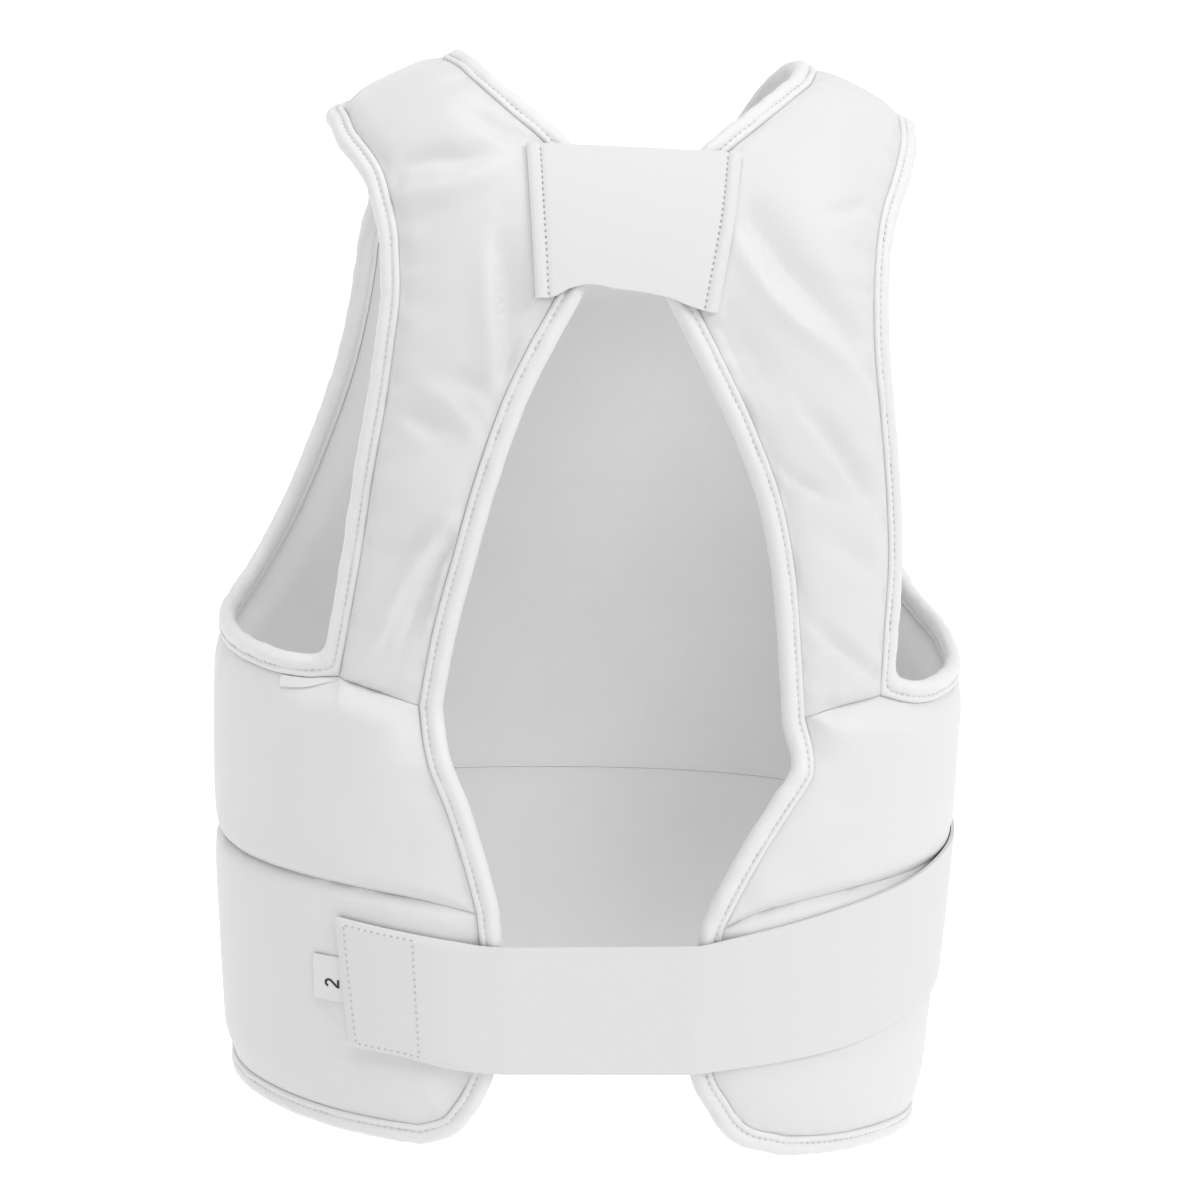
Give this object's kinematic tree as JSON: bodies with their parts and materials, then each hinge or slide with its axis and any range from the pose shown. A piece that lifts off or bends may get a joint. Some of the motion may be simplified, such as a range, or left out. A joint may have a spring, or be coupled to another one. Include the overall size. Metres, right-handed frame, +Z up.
{
  "type": "padded torso protector",
  "caption": "Padded white torso protector worn over the shoulders, open at the back and closed by an upper elastic and a waist elastic with a hook patch.",
  "frame": {"origin": "midway between the shoulders, level with the neck side of the shoulder ridge where the straps rest", "axes": "+Z up the wearer, +Y the way the wearer faces, +X to the wearer's right"},
  "size_m": [0.3167, 0.2268, 0.4527],
  "materials": {
    "cover_cloth": "smooth white cover cloth over foam padding",
    "strap_cloth": "satin white cloth over thin padding",
    "binding_tape": "white folded edge tape, stitched",
    "ribbed_elastic": "white woven elastic with fine cross ribs",
    "hook_tape": "white hook fastener tape",
    "label_cloth": "white woven label"
  },
  "bodies": {
    "root": {"chest_panel": "cover_cloth", "abdomen_panel": "cover_cloth", "shoulder_strap_left": "strap_cloth", "shoulder_strap_right": "strap_cloth", "armhole_binding_left": "binding_tape", "armhole_binding_right": "binding_tape", "outer_binding": "binding_tape", "upper_back_elastic": "ribbed_elastic", "waist_elastic": "ribbed_elastic", "hook_patch": "hook_tape", "size_label": "label_cloth"}
  },
  "joints": []
}
